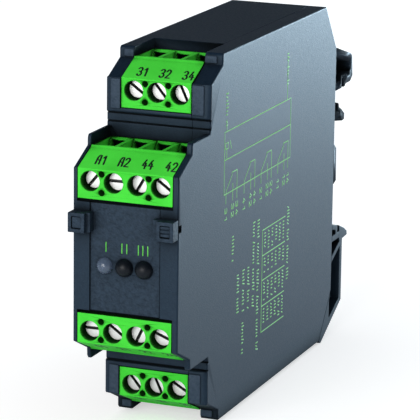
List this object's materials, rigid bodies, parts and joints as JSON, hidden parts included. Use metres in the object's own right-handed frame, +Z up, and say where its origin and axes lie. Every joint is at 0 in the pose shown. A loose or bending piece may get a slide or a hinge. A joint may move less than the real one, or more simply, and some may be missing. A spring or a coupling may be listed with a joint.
{
  "type": "electrical relay",
  "caption": "Slim rail-mounting relay module with stepped screw terminal blocks, status indicators, a side cover, and a hook and sprung foot for a top-hat rail.",
  "frame": {"origin": "middle of the rail seat: mid-width, on the plane where the rail's flanges rest, at the rail's centre line", "axes": "+X across the width towards the side cover, along the rail; +Y back towards the mounting panel; +Z up"},
  "size_m": [0.0226, 0.108, 0.0776],
  "materials": {
    "housing_plastic": "fine-grained anthracite moulding",
    "terminal_green": "smooth satin moulding",
    "screw_nickel": "bright nickel plate",
    "cage_steel": "plated steel",
    "bar_copper": "tinned copper alloy",
    "board": "lacquered laminate",
    "clear_lens": "clear moulded plastic",
    "dark_lens": "dark gloss moulding",
    "lamp_body": "pale plastic",
    "part_black": "moulded component body",
    "can_aluminium": "sleeved can",
    "case_clear": "clear plastic case",
    "base_black": "moulded base",
    "bobbin_white": "moulded bobbin",
    "winding_copper": "enamelled copper wire",
    "soft_iron": "plated soft iron",
    "contact_alloy": "spring alloy with silver contacts",
    "card_plastic": "moulded card",
    "foot_plastic": "moulded latch",
    "spring_steel": "spring wire"
  },
  "bodies": {
    "module": {"housing": "housing_plastic", "side_cover": "housing_plastic", "front_panel": "housing_plastic", "light_guide": "clear_lens", "indicator_lamp": "lamp_body", "blank_dome_middle": "dark_lens", "blank_dome_right": "dark_lens", "front_board": "board", "main_board": "board", "rectifier": "part_black", "smoothing_capacitor": "can_aluminium", "relay_base": "base_black", "relay_case": "case_clear", "coil_bobbin": "bobbin_white", "coil_winding": "winding_copper", "coil_core": "soft_iron", "yoke": "soft_iron", "fixed_contacts": "contact_alloy", "upper_rear_block": "terminal_green", "upper_rear_bars": "bar_copper", "upper_front_block": "terminal_green", "upper_front_bars": "bar_copper", "lower_front_block": "terminal_green", "lower_front_bars": "bar_copper", "lower_rear_block": "terminal_green", "lower_rear_bars": "bar_copper", "foot_spring": "spring_steel"},
    "din_foot": {"din_foot": "foot_plastic"},
    "armature": {"armature": "soft_iron"},
    "contact_card": {"contact_card": "card_plastic"},
    "contact_leaves": {"contact_leaves": "contact_alloy"},
    "upper_rear_screw_1": {"upper_rear_screw_1": "screw_nickel"},
    "upper_rear_cage_1": {"upper_rear_cage_1": "cage_steel"},
    "upper_rear_screw_2": {"upper_rear_screw_2": "screw_nickel"},
    "upper_rear_cage_2": {"upper_rear_cage_2": "cage_steel"},
    "upper_rear_screw_3": {"upper_rear_screw_3": "screw_nickel"},
    "upper_rear_cage_3": {"upper_rear_cage_3": "cage_steel"},
    "upper_front_screw_1": {"upper_front_screw_1": "screw_nickel"},
    "upper_front_cage_1": {"upper_front_cage_1": "cage_steel"},
    "upper_front_screw_2": {"upper_front_screw_2": "screw_nickel"},
    "upper_front_cage_2": {"upper_front_cage_2": "cage_steel"},
    "upper_front_screw_3": {"upper_front_screw_3": "screw_nickel"},
    "upper_front_cage_3": {"upper_front_cage_3": "cage_steel"},
    "upper_front_screw_4": {"upper_front_screw_4": "screw_nickel"},
    "upper_front_cage_4": {"upper_front_cage_4": "cage_steel"},
    "lower_front_screw_1": {"lower_front_screw_1": "screw_nickel"},
    "lower_front_cage_1": {"lower_front_cage_1": "cage_steel"},
    "lower_front_screw_2": {"lower_front_screw_2": "screw_nickel"},
    "lower_front_cage_2": {"lower_front_cage_2": "cage_steel"},
    "lower_front_screw_3": {"lower_front_screw_3": "screw_nickel"},
    "lower_front_cage_3": {"lower_front_cage_3": "cage_steel"},
    "lower_front_screw_4": {"lower_front_screw_4": "screw_nickel"},
    "lower_front_cage_4": {"lower_front_cage_4": "cage_steel"},
    "lower_rear_screw_1": {"lower_rear_screw_1": "screw_nickel"},
    "lower_rear_cage_1": {"lower_rear_cage_1": "cage_steel"},
    "lower_rear_screw_2": {"lower_rear_screw_2": "screw_nickel"},
    "lower_rear_cage_2": {"lower_rear_cage_2": "cage_steel"},
    "lower_rear_screw_3": {"lower_rear_screw_3": "screw_nickel"},
    "lower_rear_cage_3": {"lower_rear_cage_3": "cage_steel"}
  },
  "joints": [
    {"name": "din_foot_slide", "type": "slide", "parent": "module", "child": "din_foot", "axis": [0, 0, -1], "range_m": [0, 0.003], "stiffness_N_per_m": 600, "springref_m": -0.003, "deforming": ["foot_spring"]},
    {"name": "armature_hinge", "type": "hinge", "parent": "module", "child": "armature", "pos_m": [-0.00425, -0.0318, -0.0024], "axis": [0, 0, -1], "range_deg": [0, 4], "stiffness_Nm_per_rad": 0.0005, "springref_deg": -2.86},
    {"name": "card_slide", "type": "slide", "parent": "module", "child": "contact_card", "axis": [0, -1, 0], "range_m": [0, 0.00074]},
    {"name": "leaf_flex", "type": "hinge", "parent": "module", "child": "contact_leaves", "pos_m": [-0.00445, -0.0246, -0.0024], "axis": [0, 0, -1], "range_deg": [0, 3.93]},
    {"name": "upper_rear_screw_1_turn", "type": "hinge", "parent": "module", "child": "upper_rear_screw_1", "pos_m": [-0.00527, -0.0793, 0.0283], "axis": [0, 1, 0], "range_deg": [0, 1440]},
    {"name": "upper_rear_cage_1_lift", "type": "slide", "parent": "module", "child": "upper_rear_cage_1", "axis": [0, -1, 0], "range_m": [0, 0.002]},
    {"name": "upper_rear_screw_2_turn", "type": "hinge", "parent": "module", "child": "upper_rear_screw_2", "pos_m": [-0.00027, -0.0793, 0.0283], "axis": [0, 1, 0], "range_deg": [0, 1440]},
    {"name": "upper_rear_cage_2_lift", "type": "slide", "parent": "module", "child": "upper_rear_cage_2", "axis": [0, -1, 0], "range_m": [0, 0.002]},
    {"name": "upper_rear_screw_3_turn", "type": "hinge", "parent": "module", "child": "upper_rear_screw_3", "pos_m": [0.00473, -0.0793, 0.0283], "axis": [0, 1, 0], "range_deg": [0, 1440]},
    {"name": "upper_rear_cage_3_lift", "type": "slide", "parent": "module", "child": "upper_rear_cage_3", "axis": [0, -1, 0], "range_m": [0, 0.002]},
    {"name": "upper_front_screw_1_turn", "type": "hinge", "parent": "module", "child": "upper_front_screw_1", "pos_m": [-0.00766, -0.0953, 0.0129], "axis": [0, 1, 0], "range_deg": [0, 1440]},
    {"name": "upper_front_cage_1_lift", "type": "slide", "parent": "module", "child": "upper_front_cage_1", "axis": [0, -1, 0], "range_m": [0, 0.002]},
    {"name": "upper_front_screw_2_turn", "type": "hinge", "parent": "module", "child": "upper_front_screw_2", "pos_m": [-0.00265, -0.0953, 0.0129], "axis": [0, 1, 0], "range_deg": [0, 1440]},
    {"name": "upper_front_cage_2_lift", "type": "slide", "parent": "module", "child": "upper_front_cage_2", "axis": [0, -1, 0], "range_m": [0, 0.002]},
    {"name": "upper_front_screw_3_turn", "type": "hinge", "parent": "module", "child": "upper_front_screw_3", "pos_m": [0.00234, -0.0953, 0.0129], "axis": [0, 1, 0], "range_deg": [0, 1440]},
    {"name": "upper_front_cage_3_lift", "type": "slide", "parent": "module", "child": "upper_front_cage_3", "axis": [0, -1, 0], "range_m": [0, 0.002]},
    {"name": "upper_front_screw_4_turn", "type": "hinge", "parent": "module", "child": "upper_front_screw_4", "pos_m": [0.00734, -0.0953, 0.0129], "axis": [0, 1, 0], "range_deg": [0, 1440]},
    {"name": "upper_front_cage_4_lift", "type": "slide", "parent": "module", "child": "upper_front_cage_4", "axis": [0, -1, 0], "range_m": [0, 0.002]},
    {"name": "lower_front_screw_1_turn", "type": "hinge", "parent": "module", "child": "lower_front_screw_1", "pos_m": [-0.00766, -0.0953, -0.0177], "axis": [0, 1, 0], "range_deg": [0, 1440]},
    {"name": "lower_front_cage_1_lift", "type": "slide", "parent": "module", "child": "lower_front_cage_1", "axis": [0, -1, 0], "range_m": [0, 0.002]},
    {"name": "lower_front_screw_2_turn", "type": "hinge", "parent": "module", "child": "lower_front_screw_2", "pos_m": [-0.00265, -0.0953, -0.0177], "axis": [0, 1, 0], "range_deg": [0, 1440]},
    {"name": "lower_front_cage_2_lift", "type": "slide", "parent": "module", "child": "lower_front_cage_2", "axis": [0, -1, 0], "range_m": [0, 0.002]},
    {"name": "lower_front_screw_3_turn", "type": "hinge", "parent": "module", "child": "lower_front_screw_3", "pos_m": [0.00234, -0.0953, -0.0177], "axis": [0, 1, 0], "range_deg": [0, 1440]},
    {"name": "lower_front_cage_3_lift", "type": "slide", "parent": "module", "child": "lower_front_cage_3", "axis": [0, -1, 0], "range_m": [0, 0.002]},
    {"name": "lower_front_screw_4_turn", "type": "hinge", "parent": "module", "child": "lower_front_screw_4", "pos_m": [0.00734, -0.0953, -0.0177], "axis": [0, 1, 0], "range_deg": [0, 1440]},
    {"name": "lower_front_cage_4_lift", "type": "slide", "parent": "module", "child": "lower_front_cage_4", "axis": [0, -1, 0], "range_m": [0, 0.002]},
    {"name": "lower_rear_screw_1_turn", "type": "hinge", "parent": "module", "child": "lower_rear_screw_1", "pos_m": [-0.00527, -0.0793, -0.0331], "axis": [0, 1, 0], "range_deg": [0, 1440]},
    {"name": "lower_rear_cage_1_lift", "type": "slide", "parent": "module", "child": "lower_rear_cage_1", "axis": [0, -1, 0], "range_m": [0, 0.002]},
    {"name": "lower_rear_screw_2_turn", "type": "hinge", "parent": "module", "child": "lower_rear_screw_2", "pos_m": [-0.00027, -0.0793, -0.0331], "axis": [0, 1, 0], "range_deg": [0, 1440]},
    {"name": "lower_rear_cage_2_lift", "type": "slide", "parent": "module", "child": "lower_rear_cage_2", "axis": [0, -1, 0], "range_m": [0, 0.002]},
    {"name": "lower_rear_screw_3_turn", "type": "hinge", "parent": "module", "child": "lower_rear_screw_3", "pos_m": [0.00473, -0.0793, -0.0331], "axis": [0, 1, 0], "range_deg": [0, 1440]},
    {"name": "lower_rear_cage_3_lift", "type": "slide", "parent": "module", "child": "lower_rear_cage_3", "axis": [0, -1, 0], "range_m": [0, 0.002]}
  ],
  "couplings": [
    {"joint": "armature_hinge", "follows": "card_slide", "rad_per_m": 94.323},
    {"joint": "leaf_flex", "follows": "card_slide", "rad_per_m": 92.576},
    {"joint": "upper_rear_screw_1_turn", "follows": "upper_rear_cage_1_lift", "rad_per_m": 12565},
    {"joint": "upper_rear_screw_2_turn", "follows": "upper_rear_cage_2_lift", "rad_per_m": 12565},
    {"joint": "upper_rear_screw_3_turn", "follows": "upper_rear_cage_3_lift", "rad_per_m": 12565},
    {"joint": "upper_front_screw_1_turn", "follows": "upper_front_cage_1_lift", "rad_per_m": 12565},
    {"joint": "upper_front_screw_2_turn", "follows": "upper_front_cage_2_lift", "rad_per_m": 12565},
    {"joint": "upper_front_screw_3_turn", "follows": "upper_front_cage_3_lift", "rad_per_m": 12565},
    {"joint": "upper_front_screw_4_turn", "follows": "upper_front_cage_4_lift", "rad_per_m": 12565},
    {"joint": "lower_front_screw_1_turn", "follows": "lower_front_cage_1_lift", "rad_per_m": 12565},
    {"joint": "lower_front_screw_2_turn", "follows": "lower_front_cage_2_lift", "rad_per_m": 12565},
    {"joint": "lower_front_screw_3_turn", "follows": "lower_front_cage_3_lift", "rad_per_m": 12565},
    {"joint": "lower_front_screw_4_turn", "follows": "lower_front_cage_4_lift", "rad_per_m": 12565},
    {"joint": "lower_rear_screw_1_turn", "follows": "lower_rear_cage_1_lift", "rad_per_m": 12565},
    {"joint": "lower_rear_screw_2_turn", "follows": "lower_rear_cage_2_lift", "rad_per_m": 12565},
    {"joint": "lower_rear_screw_3_turn", "follows": "lower_rear_cage_3_lift", "rad_per_m": 12565}
  ]
}
